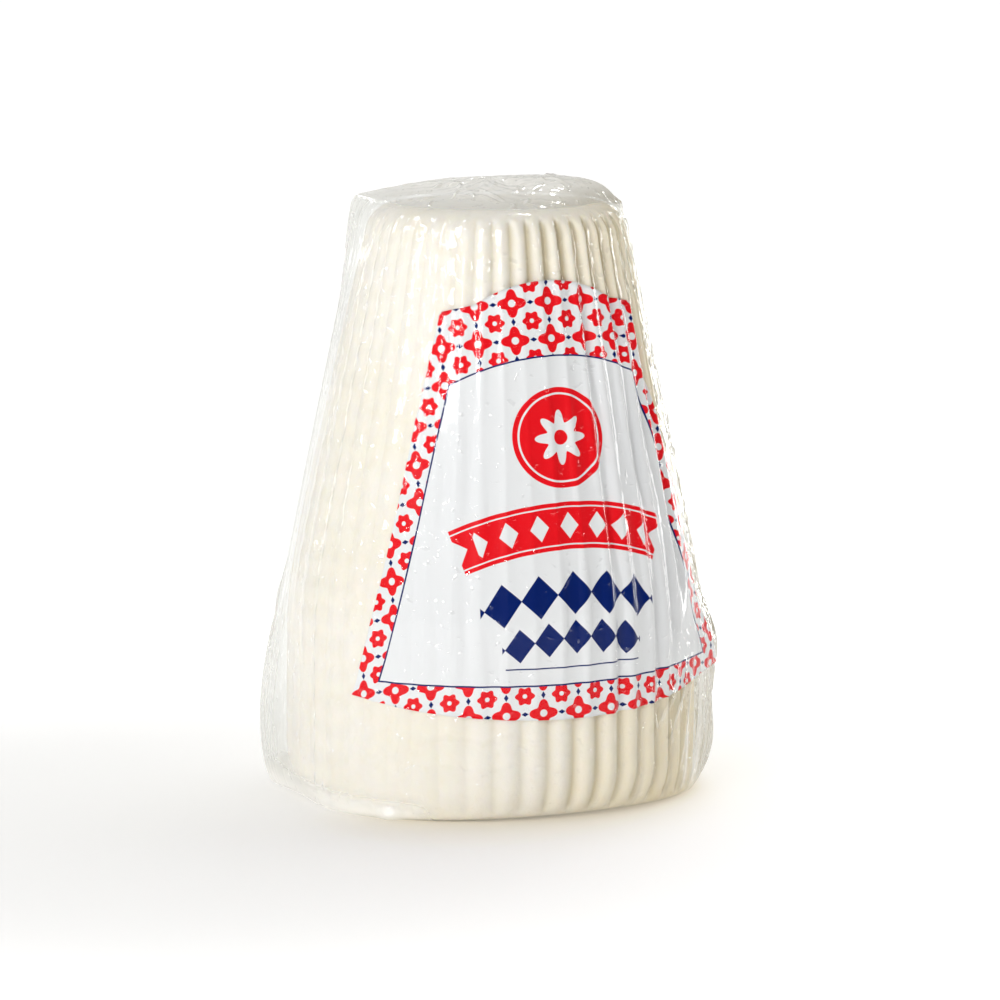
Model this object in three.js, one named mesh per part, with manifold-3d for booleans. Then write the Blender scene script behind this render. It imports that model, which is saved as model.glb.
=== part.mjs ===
// A whole salted ricotta: a fluted cone of pressed cheese, vacuum packed in a clear
// film bag, with a die-cut label wrapped round its front.
// Millimetres, +Z up. The origin is the middle of the face it stands on, the label's
// centre line faces -Y, and angles are counted from -Y towards +X.

import * as THREE from "three";
import { mergeVertices } from "three/addons/utils/BufferGeometryUtils.js";
import Module from "manifold-3d";

// ---- Driving dimensions ----------------------------------------------------------

// The cheese is a cone that stands almost upright below its belly.
const CHEESE_HEIGHT = 210;
const TOP_RADIUS = 44.7;        // where the cone's side meets the level of the top
const TAPER = 0.21;             // radius gained for each millimetre down
const BELLY_HEIGHT = 73;        // the side stops widening here
const BELLY_SOFTNESS = 12;      // how gently it stops
const FOOT_HEIGHT = 18;         // the lower edge is rounded over this height
const FOOT_INSET = 7.6;
const FOOT_OVAL = 2.3;          // the cheese has settled unevenly: its foot is a little oval ...
const FOOT_OVAL_TURN = -14;
const FOOT_LOBES = 4.3;         // ... and its outline has three blunt corners
const FOOT_LOBE_TURN = 7;
const SHOULDER_RADIUS = 7;      // rounding between the side and the top

// The mould's flutes print ribs on the side, between the shoulder and the foot.
const RIB_COUNT = 47;
const RIB_PITCH = 360 / RIB_COUNT;
const RIB_DEPTH = 1.5;
const GROOVE_SOFTNESS = 0.16;   // rounds the bottom of the groove
const RIB_TOP = 207;            // ribs begin here ...
const RIB_TOP_FADE = 8;         // ... and reach full depth this far below
const RIB_FOOT = 5;
const RIB_FOOT_FADE = 9;

// The bag is two sheets of film that meet in a seam on each side and over the top.
const FILM_THICKNESS = 0.3;
const SEAM_ANGLE = 66;          // degrees; the other seam is opposite
const SEAM_REACH = 2.1;         // how far a seam stands off the cheese
const SEAM_FOOT_HEIGHT = 25;    // its lower corners are rounded
const SEAM_FOOT_INSET = 8.2;
const PINCH_ANGLE = 0.7;        // degrees on either side of a seam's edge
const RIM_HEIGHT = 209.8;       // where the sheets leave the shoulder for the top
const PEAK_HEIGHT = 218.7;      // the top seam stands up as a low tent over the cheese
const TENT_POWER = 1.15;        // nearly straight slopes to the front and back
const RIDGE_SHARPNESS = 6;
// These have one value for either seam.
const EAR_REACH = [-0.6, 1.4];  // added at the upper corners
const EAR_HEIGHT = 175;
const EAR_RADIUS = [44.8, 48.5]; // from the axis to the corner of the rim
const EAR_LIFT = [0.8, 2.2];    // the rim rises this far at a seam
const RIDGE_POWER = [8, 1.8];   // the ridge falls away late, or steadily
const FLARE_REACH = [3.9, 6.8]; // added near the floor
const FLARE_HEIGHT = 82;
const FLARE_FADE = 52;

// The label is cut flat and wrapped on the cone. x is measured along the wrap from the
// centre line, y up the side from the middle of the lower edge.
const LABEL_BASE = 36.4;        // height of the middle of the lower edge
const LABEL_TILT = 0.8;         // degrees, put on by hand
const LABEL_MIDDLE = 75;        // height in the label about which it is tilted
const LABEL_CORNER = [82.8, 16.3];
const LABEL_SHOULDER = [38.3, 145.7];
const LABEL_STEP = [26.5, 146.6];
const LABEL_ARCH = [19.6, 149.6];
const LABEL_PEAK = 153.2;
const LABEL_GAP = 0.3;          // clear of the bag
const LABEL_THICKNESS = 0.4;
const LABEL_RELIEF = 0.35;      // share of the ribs' depth that shows through it
const LABEL_EDGE_STEPS = 8;
const LABEL_MARGIN = 12;        // the sheet that it is cut from runs on this far

// ---- Mesh resolution -------------------------------------------------------------

const COLUMNS_PER_RIB = 4;
const SIDE_ROWS = [0, 1.5, 5, 10, 17, 26, 38, 50, 62, 75, 92, 115, 138, 160, 178, 192, 200, 205];
const TOP_ROWS = [0.92, 0.72, 0.4];  // shares of the way from the centre to the rim

// ---- The cheese ------------------------------------------------------------------

const { clamp, degToRad, radToDeg, smoothstep } = THREE.MathUtils;

// How far a quarter of an ellipse falls short of its full width, from 0 to 1.
const quarterRound = (t) => 1 - Math.sqrt(1 - clamp(t, 0, 1) ** 2);

// The side alone, as if it ran on past its rounded edges.
function sideRadius(z) {
  const belowBelly = BELLY_HEIGHT - z;
  const straightened = (Math.hypot(belowBelly, BELLY_SOFTNESS) + belowBelly) / 2;
  return TOP_RADIUS + TAPER * (CHEESE_HEIGHT - z - straightened);
}

function cheeseRadius(angle, z) {
  const oval = FOOT_OVAL * Math.cos(2 * degToRad(angle - FOOT_OVAL_TURN));
  const lobes = FOOT_LOBES * Math.cos(3 * degToRad(angle - FOOT_LOBE_TURN));
  const foot = (FOOT_INSET + oval + lobes) * quarterRound((FOOT_HEIGHT - z) / FOOT_HEIGHT);
  const aboveShoulder = (z - CHEESE_HEIGHT + SHOULDER_RADIUS) / SHOULDER_RADIUS;
  return sideRadius(z) - foot - SHOULDER_RADIUS * quarterRound(aboveShoulder);
}

// 1 in the middle of a groove, 0 on the crest of a rib.
function groove(angle) {
  const across = Math.sin((Math.PI * angle) / RIB_PITCH);
  const rounded = Math.hypot(across, GROOVE_SOFTNESS) - GROOVE_SOFTNESS;
  return 1 - rounded / (Math.hypot(1, GROOVE_SOFTNESS) - GROOVE_SOFTNESS);
}

function grooveDepth(angle, z) {
  const top = smoothstep(RIB_TOP - z, 0, RIB_TOP_FADE);
  const foot = smoothstep(z - RIB_FOOT, 0, RIB_FOOT_FADE);
  return RIB_DEPTH * top * foot * groove(angle);
}

// ---- The bag ---------------------------------------------------------------------

// The nearest seam: its index, and the angle to it in degrees.
function nearestSeam(angle) {
  const turns = Math.round((angle - SEAM_ANGLE) / 180);
  return { index: Math.abs(turns) % 2, offset: angle - SEAM_ANGLE - turns * 180 };
}

// From the axis to a seam's edge.
function seamRadius(index, z) {
  const ear = EAR_REACH[index] * smoothstep(z, EAR_HEIGHT, RIM_HEIGHT);
  const flare = FLARE_REACH[index] * smoothstep(FLARE_HEIGHT - z, 0, FLARE_FADE);
  const foot = SEAM_FOOT_INSET * quarterRound((SEAM_FOOT_HEIGHT - z) / SEAM_FOOT_HEIGHT);
  return sideRadius(z) + FILM_THICKNESS + SEAM_REACH + ear + flare - foot;
}

// Between the cheese and a seam's edge the film runs straight, as a tangent.
function tangentRadius(inner, outer, offset) {
  const contact = Math.acos(inner / outer);
  return inner / Math.cos(Math.max(contact - Math.abs(degToRad(offset)), 0));
}

function bagRadius(angle, z, ribShare = 1) {
  const seam = nearestSeam(angle);
  const crest = cheeseRadius(angle, z) + FILM_THICKNESS;
  const stretched = tangentRadius(crest, seamRadius(seam.index, z), seam.offset);
  return stretched > crest ? stretched : crest - ribShare * grooveDepth(angle, z);
}

function rimPoint(angle) {
  const seam = nearestSeam(angle);
  const inner = cheeseRadius(angle, RIM_HEIGHT) + FILM_THICKNESS;
  const outer = EAR_RADIUS[seam.index];
  const radius = tangentRadius(inner, outer, seam.offset);
  const lift = EAR_LIFT[seam.index] * ((radius - inner) / (outer - inner));
  return { radius, height: RIM_HEIGHT + lift };
}

// The tent of film over the top; share is 1 at the rim and 0 in the middle.
function tentPoint(angle, share) {
  const rim = rimPoint(angle);
  const seam = nearestSeam(angle);
  const alongRidge = Math.cos(degToRad(seam.offset)) ** RIDGE_SHARPNESS;
  const power = TENT_POWER + (RIDGE_POWER[seam.index] - TENT_POWER) * alongRidge;
  const height = rim.height + (PEAK_HEIGHT - rim.height) * (1 - share ** power);
  return { radius: rim.radius * share, height };
}

// Columns follow the ribs, and three more pinch each seam to its edge.
function columnAngles() {
  const seams = [SEAM_ANGLE, SEAM_ANGLE - 180];
  const angles = seams.flatMap((seam) => [seam - PINCH_ANGLE, seam, seam + PINCH_ANGLE]);
  for (let column = 0; column < RIB_COUNT * COLUMNS_PER_RIB; column += 1) {
    const angle = (column * RIB_PITCH) / COLUMNS_PER_RIB - 180;
    const clear = seams.every((seam) => Math.abs(angle - seam) > 2 * PINCH_ANGLE);
    if (clear) angles.push(angle);
  }
  return angles.sort((a, b) => a - b);
}

const COLUMNS = columnAngles();

function onSurface(angle, radius, z) {
  const turn = degToRad(angle);
  return [radius * Math.sin(turn), -radius * Math.cos(turn), z];
}

function meshGeometry(positions, triangles) {
  const geometry = new THREE.BufferGeometry();
  geometry.setAttribute("position", new THREE.Float32BufferAttribute(positions, 3));
  geometry.setIndex(triangles);
  geometry.computeVertexNormals();
  return geometry;
}

function bagGeometry() {
  const positions = [];
  const addPoint = (angle, radius, z) => positions.push(...onSurface(angle, radius, z));
  for (const z of SIDE_ROWS) {
    for (const angle of COLUMNS) addPoint(angle, bagRadius(angle, z), z);
  }
  for (const share of [1, ...TOP_ROWS]) {
    for (const angle of COLUMNS) {
      const point = tentPoint(angle, share);
      addPoint(angle, point.radius, point.height);
    }
  }
  const rows = SIDE_ROWS.length + 1 + TOP_ROWS.length;
  const count = COLUMNS.length;
  const foot = rows * count;
  const peak = foot + 1;
  positions.push(0, 0, 0, 0, 0, PEAK_HEIGHT);

  const triangles = [];
  for (let column = 0; column < count; column += 1) {
    const next = (column + 1) % count;
    triangles.push(foot, next, column);
    for (let row = 0; row + 1 < rows; row += 1) {
      const low = row * count;
      const high = low + count;
      triangles.push(low + column, low + next, high + next);
      triangles.push(low + column, high + next, high + column);
    }
    const last = (rows - 1) * count;
    triangles.push(last + column, last + next, peak);
  }
  return meshGeometry(positions, triangles);
}

// ---- The label -------------------------------------------------------------------

const APEX_HEIGHT = CHEESE_HEIGHT + TOP_RADIUS / TAPER;
const CONE_HALF_ANGLE = Math.atan(TAPER);
const LABEL_BASE_SLANT = (APEX_HEIGHT - LABEL_BASE) / Math.cos(CONE_HALF_ANGLE);

// A flat point of the label becomes an angle in degrees and a height on the cheese.
function wrap([flatX, flatY]) {
  const tilt = degToRad(LABEL_TILT);
  const above = flatY - LABEL_MIDDLE;
  const x = flatX * Math.cos(tilt) - above * Math.sin(tilt);
  const y = LABEL_MIDDLE + flatX * Math.sin(tilt) + above * Math.cos(tilt);
  const down = LABEL_BASE_SLANT - y;
  const slant = Math.hypot(x, down);
  const arc = slant * Math.atan2(x, down);
  const z = APEX_HEIGHT - slant * Math.cos(CONE_HALF_ANGLE);
  return [radToDeg(arc / sideRadius(z)), z];
}

// Half of the outline, from the middle of the lower edge round to the top.
function halfOutline() {
  const [cornerX, cornerY] = LABEL_CORNER;
  const [shoulderX, shoulderY] = LABEL_SHOULDER;
  const [archX, archY] = LABEL_ARCH;
  const points = [];
  for (let step = 0; step < LABEL_EDGE_STEPS; step += 1) {
    const share = step / LABEL_EDGE_STEPS;
    points.push([cornerX * share, cornerY * share ** 2]);
  }
  for (let step = 0; step <= LABEL_EDGE_STEPS; step += 1) {
    const share = step / LABEL_EDGE_STEPS;
    points.push([cornerX + (shoulderX - cornerX) * share, cornerY + (shoulderY - cornerY) * share]);
  }
  points.push(LABEL_STEP);
  for (let step = 0; step <= LABEL_EDGE_STEPS; step += 2) {
    const share = 1 - step / LABEL_EDGE_STEPS;
    points.push([archX * share, LABEL_PEAK - (LABEL_PEAK - archY) * share ** 2]);
  }
  return points;
}

function labelOutline() {
  const right = halfOutline();
  const left = right.slice(1, -1).reverse().map(([x, y]) => [-x, y]);
  return [...right, ...left].map((point) => new THREE.Vector2(...wrap(point)));
}

// A sheet over the ribs, unrolled: across is the angle, up is the height, and the
// third coordinate is the distance from the cheese's axis.
function labelBlank() {
  const reach = wrap(LABEL_CORNER)[0] + RIB_PITCH / 2;
  const across = COLUMNS.filter((angle) => Math.abs(angle) < reach);
  const top = wrap([0, LABEL_PEAK])[1];
  const up = SIDE_ROWS.filter((z) => z > LABEL_BASE - LABEL_MARGIN && z < top + LABEL_MARGIN);
  const layer = (lift) => up.flatMap((z) => across.flatMap(
    (angle) => [angle, z, bagRadius(angle, z, LABEL_RELIEF) + lift],
  ));
  const positions = [...layer(LABEL_GAP), ...layer(LABEL_GAP + LABEL_THICKNESS)];
  const width = across.length;
  const size = width * up.length;

  const triangles = [];
  const addQuad = (a, b, c, d) => triangles.push(a, b, c, a, c, d);
  for (let row = 0; row + 1 < up.length; row += 1) {
    for (let column = 0; column + 1 < width; column += 1) {
      const a = row * width + column;
      const b = a + 1;
      const c = b + width;
      const d = a + width;
      addQuad(size + a, size + b, size + c, size + d);
      triangles.push(a, c, b, a, d, c);
    }
  }
  for (let column = 0; column + 1 < width; column += 1) {
    const low = column;
    const high = (up.length - 1) * width + column;
    addQuad(low, low + 1, size + low + 1, size + low);
    addQuad(high + 1, high, size + high, size + high + 1);
  }
  for (let row = 0; row + 1 < up.length; row += 1) {
    const left = row * width;
    const right = left + width - 1;
    addQuad(left + width, left, size + left, size + left + width);
    addQuad(right, right + width, size + right + width, size + right);
  }
  return meshGeometry(positions, triangles);
}

function toSolid(wasm, geometry) {
  const bare = geometry.clone();
  bare.deleteAttribute("normal");
  bare.deleteAttribute("uv");
  const merged = mergeVertices(bare);
  return new wasm.Manifold(new wasm.Mesh({
    numProp: 3,
    vertProperties: new Float32Array(merged.attributes.position.array),
    triVerts: new Uint32Array(merged.index.array),
  }));
}

function labelGeometry(wasm) {
  const cutter = new THREE.ExtrudeGeometry(new THREE.Shape(labelOutline()), {
    depth: 2 * sideRadius(0),
    bevelEnabled: false,
  });
  const sheet = toSolid(wasm, labelBlank()).intersect(toSolid(wasm, cutter)).getMesh();
  const positions = [];
  for (let index = 0; index < sheet.vertProperties.length; index += sheet.numProp) {
    const [angle, z, radius] = sheet.vertProperties.subarray(index, index + 3);
    positions.push(...onSurface(angle, radius, z));
  }
  return meshGeometry(positions, Array.from(sheet.triVerts));
}

// ---- Assembly --------------------------------------------------------------------

function namedMesh(name, geometry, material) {
  const mesh = new THREE.Mesh(geometry, new THREE.MeshStandardMaterial(material));
  mesh.name = name;
  return mesh;
}

const wasm = await Module();
wasm.setup();

const ricotta = new THREE.Group();
ricotta.add(namedMesh("sealed_cheese", bagGeometry(), {
  color: 0xf0e9d6, roughness: 0.35, metalness: 0,
}));
ricotta.add(namedMesh("label", labelGeometry(wasm), {
  color: 0xf3f3f1, roughness: 0.3, metalness: 0,
}));

export default ricotta;
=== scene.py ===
# %% [markdown]
# # A whole salted ricotta in its vacuum bag
#
# The real object is a fluted cone of pressed ricotta, about 21 cm high. It is sealed in a
# clear bag, and a die-cut label lies between the bag and the cheese. The work goes from the
# inside out, as the maker's does: cheese, then label, then bag, then the studio round them.
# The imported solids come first, because every piece here has to sit where they sit.

# %% Load the frame
import math

import bpy
import numpy as np
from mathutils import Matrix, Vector


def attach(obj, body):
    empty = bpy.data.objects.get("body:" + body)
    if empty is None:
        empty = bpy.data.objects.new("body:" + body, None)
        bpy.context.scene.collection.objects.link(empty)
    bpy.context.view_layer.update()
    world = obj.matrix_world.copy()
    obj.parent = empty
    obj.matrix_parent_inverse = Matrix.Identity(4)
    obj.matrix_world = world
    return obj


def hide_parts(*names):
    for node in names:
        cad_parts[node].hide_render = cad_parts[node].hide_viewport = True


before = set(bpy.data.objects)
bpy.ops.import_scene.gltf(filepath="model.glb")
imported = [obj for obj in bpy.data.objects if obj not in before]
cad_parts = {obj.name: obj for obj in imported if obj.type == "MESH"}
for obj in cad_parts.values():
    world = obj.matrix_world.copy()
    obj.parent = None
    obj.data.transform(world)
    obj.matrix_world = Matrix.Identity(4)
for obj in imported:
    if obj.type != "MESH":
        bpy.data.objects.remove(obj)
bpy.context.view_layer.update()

print("solids:", sorted(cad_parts))

# %% [markdown]
# ## Formulas that are numbers or nodes
#
# A cone with ribs is a formula: an angle and a height give a radius. The cheese is made from
# it by Geometry Nodes, the label and the bag by Python. Writing the formula twice invites
# mistakes, so it is written once. `Wire` stands for a node's output, and a sum on it adds a
# Math node, while the same sum on plain numbers or arrays is worked out at once.

# %% A node's output that takes part in Python sums
class Wire:
    """One output socket. Maths on it adds Math nodes to its tree."""

    def __init__(self, tree, socket):
        self.tree = tree
        self.socket = socket

    def maths(self, operation, *values):
        return self.tree.add("ShaderNodeMath", {"operation": operation}, values)

    def __add__(self, other):
        return self.maths("ADD", self, other)

    def __radd__(self, other):
        return self.maths("ADD", other, self)

    def __sub__(self, other):
        return self.maths("SUBTRACT", self, other)

    def __rsub__(self, other):
        return self.maths("SUBTRACT", other, self)

    def __mul__(self, other):
        return self.maths("MULTIPLY", self, other)

    def __rmul__(self, other):
        return self.maths("MULTIPLY", other, self)

    def __truediv__(self, other):
        return self.maths("DIVIDE", self, other)

    def __rtruediv__(self, other):
        return self.maths("DIVIDE", other, self)


# %% One way to add any node
class Tree:
    """A node tree that grows by one call for each node."""

    def __init__(self, node_tree):
        self.nodes = node_tree.nodes
        self.links = node_tree.links

    def add(self, kind, settings=None, inputs=(), output=0):
        """Adds a node: its settings first, then what its sockets hold or are linked to."""
        node = self.nodes.new(kind)
        for name, value in (settings or {}).items():
            setattr(node, name, value)
        pairs = inputs.items() if isinstance(inputs, dict) else enumerate(inputs)
        for key, value in pairs:
            if isinstance(value, Wire):
                self.links.new(value.socket, node.inputs[key])
            else:
                node.inputs[key].default_value = value
        return Wire(self, node.outputs[output]) if len(node.outputs) else node

    def split(self, vector):
        """The three numbers of a vector."""
        node = self.add("ShaderNodeSeparateXYZ", None, [vector]).socket.node
        return [Wire(self, socket) for socket in node.outputs]

    def join(self, x, y, z):
        return self.add("ShaderNodeCombineXYZ", None, [x, y, z])

    def colour_mix(self, factor, first, second, mode="MIX"):
        settings = {"data_type": "RGBA", "blend_type": mode}
        return self.add("ShaderNodeMix", settings, {0: factor, 6: first, 7: second}, 2)


# %% Functions for both kinds of value
def either(operation, in_python):
    """A function that adds a Math node if it is given a wire, and else works the number out."""

    def run(*values):
        wires = [value for value in values if isinstance(value, Wire)]
        return wires[0].maths(operation, *values) if wires else in_python(*values)

    return run


root = either("SQRT", np.sqrt)
sine = either("SINE", np.sin)
cosine = either("COSINE", np.cos)
size_of = either("ABSOLUTE", np.abs)
larger = either("MAXIMUM", np.maximum)
smaller = either("MINIMUM", np.minimum)
turn_of = either("ARCTAN2", np.arctan2)
nearest_whole = either("ROUND", np.round)


def clamp(value):
    return smaller(larger(value, 0.0), 1.0)


def ease(value):
    """Goes smoothly from 0 to 1 while the value does."""
    share = clamp(value)
    return share * share * (3.0 - 2.0 * share)


def length_of(x, y):
    return root(x * x + y * y)


def quarter_round(value):
    """How far a quarter circle falls short of its full width."""
    share = clamp(value)
    return 1.0 - root(1.0 - share * share)


print("checked: ease(0.5) =", ease(0.5), "and quarter_round(1) =", quarter_round(1.0))

# %% [markdown]
# ## The cone
#
# Apart from a lean of 2 mm at the top, the sizes are the solids' own, in metres. The cheese
# stands almost upright below its belly, and its lower edge is rounded unevenly where it has
# settled. The mould's flutes leave 47 ribs from the shoulder down to the foot, and the bag has
# pressed them flatter on the left. Angles start at the label's centre line, which faces -Y,
# and grow towards +X.

# %% Sizes of the cheese
CHEESE = {
    "Height": 0.210,
    "Top radius": 0.0447,
    "Taper": 0.21,
    "Belly height": 0.073,
    "Belly softness": 0.012,
    "Foot height": 0.018,
    "Foot inset": 0.0076,
    "Foot oval": 0.0023,
    "Foot oval turn": math.radians(-14),
    "Foot lobes": 0.0043,
    "Foot lobe turn": math.radians(7),
    "Shoulder radius": 0.009,
    "Ribs": 47,
    "Rib depth": 0.0023,
    "Rib deepening": 0.60,
    "Groove softness": 0.13,
    "Rib top": 0.209,
    "Rib top fade": 0.005,
    "Rib foot": 0.0005,
    "Rib foot fade": 0.005,
    "Lean": 0.0022,
    "Lean turn": math.radians(66),
    "Pressed flat": 0.81,
    "Pressed side": math.radians(-100),
    "Pressed reach": 0.38,
    "Pressed fade": 0.95,
}


# %% The cone as formulas
def side_radius(z, cheese=CHEESE):
    """The side alone, as if it ran on past its rounded edges."""
    below_belly = cheese["Belly height"] - z
    straightened = (length_of(below_belly, cheese["Belly softness"]) + below_belly) / 2
    return cheese["Top radius"] + cheese["Taper"] * (cheese["Height"] - z - straightened)


def cheese_radius(angle, z, cheese=CHEESE):
    """The cheese without its grooves."""
    oval = cheese["Foot oval"] * cosine((angle - cheese["Foot oval turn"]) * 2.0)
    lobes = cheese["Foot lobes"] * cosine((angle - cheese["Foot lobe turn"]) * 3.0)
    foot = quarter_round(1.0 - z / cheese["Foot height"])
    shoulder = quarter_round(1.0 - (cheese["Height"] - z) / cheese["Shoulder radius"])
    inset = (cheese["Foot inset"] + oval + lobes) * foot + cheese["Shoulder radius"] * shoulder
    share = z / cheese["Height"]
    lean = cheese["Lean"] * share * share * cosine(angle - cheese["Lean turn"])
    return side_radius(z, cheese) - inset + lean


def groove(angle, cheese=CHEESE):
    """1 in the middle of a groove and 0 on the crest of a rib."""
    softness = cheese["Groove softness"]
    across = sine(angle * cheese["Ribs"] / 2)
    rounded = length_of(across, softness) - softness
    return 1.0 - rounded / (length_of(1.0, softness) - softness)


def groove_depth(angle, z, cheese=CHEESE):
    top = ease((cheese["Rib top"] - z) / cheese["Rib top fade"])
    foot = ease((z - cheese["Rib foot"]) / cheese["Rib foot fade"])
    towards = cosine(angle - cheese["Pressed side"])
    pressed = ease((towards + cheese["Pressed reach"]) / cheese["Pressed fade"])
    depth = cheese["Rib depth"] * (1.0 - cheese["Pressed flat"] * pressed)
    depth = depth * (1.0 + cheese["Rib deepening"] * z / cheese["Height"])
    return depth * top * foot * groove(angle, cheese)


print(f"widest radius {side_radius(0.0) * 1000:.1f} mm, {CHEESE['Ribs']} ribs")

# %% [markdown]
# ## The camera
#
# It stands 1.8 m away with a long lens, 24 degrees to the label's left and 8 degrees above
# the horizon. The camera comes early, because every size and finish is judged through it.
# The cone's middle falls a little off the picture's middle, which a small lens shift gives
# without turning the camera.

# %% Place the camera
LOOK_AT = Vector((0, 0, 0.1075))
CAMERA_AZIMUTH = math.radians(-24)
CAMERA_ELEVATION = math.radians(8)
CAMERA_DISTANCE = 1.8256
CAMERA_LENS = 184.36
CAMERA_SHIFT = (0.010, -0.0125)


def direction_to(azimuth, elevation):
    """The way from the object to a camera or a lamp. Azimuth 0 is in front of the label."""
    flat = math.cos(elevation)
    return Vector((math.sin(azimuth) * flat, -math.cos(azimuth) * flat, math.sin(elevation)))


def put_in_scene(name, data):
    thing = bpy.data.objects.new(name, data)
    bpy.context.scene.collection.objects.link(thing)
    return thing


def aim(thing, azimuth, elevation, distance, target=LOOK_AT):
    """Puts a camera or a lamp on its side of the target and turns it there."""
    back = direction_to(azimuth, elevation)
    thing.location = target + back * distance
    thing.rotation_euler = (-back).to_track_quat("-Z", "Y").to_euler()


camera = put_in_scene("camera", bpy.data.cameras.new("camera"))
camera.data.lens = CAMERA_LENS
camera.data.shift_x, camera.data.shift_y = CAMERA_SHIFT
camera.data.clip_end = 100
aim(camera, CAMERA_AZIMUTH, CAMERA_ELEVATION, CAMERA_DISTANCE)
bpy.context.scene.camera = camera
print("camera at", [round(value, 3) for value in camera.location])

# %% [markdown]
# ## What the cheese is made of
#
# Pressed ricotta is ivory, and light goes a little way into it before it comes out. So the
# shader has subsurface scattering, a colour that drifts slowly, a fine curd grain as bump, and
# painted shade: darker and warmer deep in the grooves, and yellower down the right side, which
# the key light leaves in shade. The patterns read Object coordinates, which never slide,
# because the object stays at the origin.

# %% Start a material
def start_material(name):
    """A new material with an empty tree."""
    material = bpy.data.materials.new(name)
    material.use_nodes = True
    material.node_tree.nodes.clear()
    return material, Tree(material.node_tree)


def object_place(tree):
    return tree.add("ShaderNodeTexCoord", output="Object")


def noise(tree, place, scale, detail=2.0, roughness=0.5):
    """Smooth unevenness around 0.5. The scale is in bumps for each metre."""
    inputs = {"Vector": place, "Scale": scale, "Detail": detail, "Roughness": roughness}
    return tree.add("ShaderNodeTexNoise", None, inputs)


def stretched(tree, place, factors):
    """The place with each axis multiplied, to make a pattern long or flat."""
    return tree.add("ShaderNodeVectorMath", {"operation": "MULTIPLY"}, [place, factors])


def add_bump(tree, strength, depth, height):
    """Relief in the light alone, as deep as the depth where the height is 1."""
    inputs = {"Strength": strength, "Distance": depth, "Height": height}
    return tree.add("ShaderNodeBump", None, inputs)


# %% The cheese's material
CREST_COLOUR = (0.90, 0.86, 0.79, 1)
# Painted shade: deep in the grooves the colour turns darker and warmer.
GROOVE_SHADE_COLOUR = (0.72, 0.64, 0.47, 1)
DAMP_COLOUR = (0.87, 0.82, 0.70, 1)
# Painted shade: the right side, away from the key light, turns yellower, most where the cone is
# widest.
SHADED_SIDE_COLOUR = (0.90, 0.80, 0.59, 1)
SHADED_SIDE_REACH = (0.25, 0.95)
SHADED_SIDE_RADIUS = 0.066
# Bumps for each metre.
PATCH_SCALE, CURD_SCALE, GRAIN_SCALE = 28, 260, 900
CURD_RELIEF, GRAIN_RELIEF = 0.65, 0.35
# Where a pattern starts to count as damp, how sharply, and how much it adds.
PATCH_DAMP = (0.45, 4.0, 0.5)
CURD_DAMP = (0.5, 5.0, 0.35)


def dampness(pattern, levels):
    start, sharpness, share = levels
    return ease((pattern - start) * sharpness) * share


def make_cheese_material():
    material, tree = start_material("pressed_ricotta")
    place = object_place(tree)
    depth = tree.add("ShaderNodeAttribute", {"attribute_name": "groove"}, output="Fac")
    patches = noise(tree, place, PATCH_SCALE, 3)
    grain = noise(tree, place, GRAIN_SCALE, 3, 0.6)
    curd = noise(tree, place, CURD_SCALE, 2, 0.5)
    damp = dampness(patches, PATCH_DAMP) + dampness(curd, CURD_DAMP)
    colour = tree.colour_mix(damp, CREST_COLOUR, DAMP_COLOUR)
    x, y, _ = tree.split(place)
    # Painted shade: yellower towards the shaded right side.
    lit_reach, shaded_reach = SHADED_SIDE_REACH
    right_shade = clamp((x / larger(length_of(x, y), 0.001) + lit_reach) / (lit_reach + shaded_reach))
    colour = tree.colour_mix(right_shade * length_of(x, y) / SHADED_SIDE_RADIUS, colour, SHADED_SIDE_COLOUR)
    # Painted shade: the deeper the groove, the darker and warmer the colour.
    colour = tree.colour_mix(clamp(depth * depth), colour, GROOVE_SHADE_COLOUR)
    height = grain * GRAIN_RELIEF + curd * CURD_RELIEF
    bump = add_bump(tree, 0.7, 0.0005, height)
    shader = tree.add("ShaderNodeBsdfPrincipled", None, {
        "Base Color": colour,
        "Roughness": 0.42 + 0.2 * curd,
        "Specular IOR Level": 0.15,
        "Subsurface Weight": 0.3,
        "Subsurface Radius": (1.0, 0.8, 0.45),
        "Subsurface Scale": 0.0010,
        "Normal": bump,
    })
    tree.add("ShaderNodeOutputMaterial", None, {"Surface": shader})
    return material


cheese_material = make_cheese_material()
print("material:", cheese_material.name)

# %% [markdown]
# ## The cheese
#
# A lathe could turn the cone, and 47 Boolean cuts could flute it, but one rule says it all. So
# Geometry Nodes bends a flat grid: across the grid is the way round, up the grid is the way
# from the middle of the foot, up the side and in to the middle of the top. Slow noise makes
# the ribs wander, change depth and sink in places, as soft curd does when it leaves a mould.

# %% Helpers for Geometry Nodes
SOCKET_KINDS = {int: "NodeSocketInt", float: "NodeSocketFloat"}


def ask_for(group, tree, values):
    """Gives the group one named input for each value, and returns a wire for each name."""
    for name, value in values.items():
        group.interface.new_socket(name, in_out="INPUT", socket_type=SOCKET_KINDS[type(value)])
    node = tree.nodes.new("NodeGroupInput")
    return {name: Wire(tree, node.outputs[name]) for name in values}


def run_group(name, group, values):
    """Runs a geometry group once and keeps what it makes as a plain mesh."""
    piece = put_in_scene(name, bpy.data.meshes.new(name))
    modifier = piece.modifiers.new("shape", "NODES")
    modifier.node_group = group
    for item in group.interface.items_tree:
        if item.in_out == "INPUT" and item.name in values:
            modifier[item.identifier] = values[item.name]
    graph = bpy.context.evaluated_depsgraph_get()
    mesh = bpy.data.meshes.new_from_object(piece.evaluated_get(graph))
    mesh.name = name
    piece.modifiers.remove(modifier)
    piece.data = mesh
    return piece


# %% The cheese's tree
FULL_TURN = 2 * math.pi
FOOT_SHARE = 0.06
TOP_SHARE = 0.09
CHEESE_MESH = {
    "Columns": CHEESE["Ribs"] * 15 + 1,
    "Rows": 132,
    "Film allowance": 0.0003,
    "Rib wander": 0.02,
    "Least depth": 0.7,
    "Depth swing": 0.6,
    "Sinking": 0.0007,
}
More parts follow.
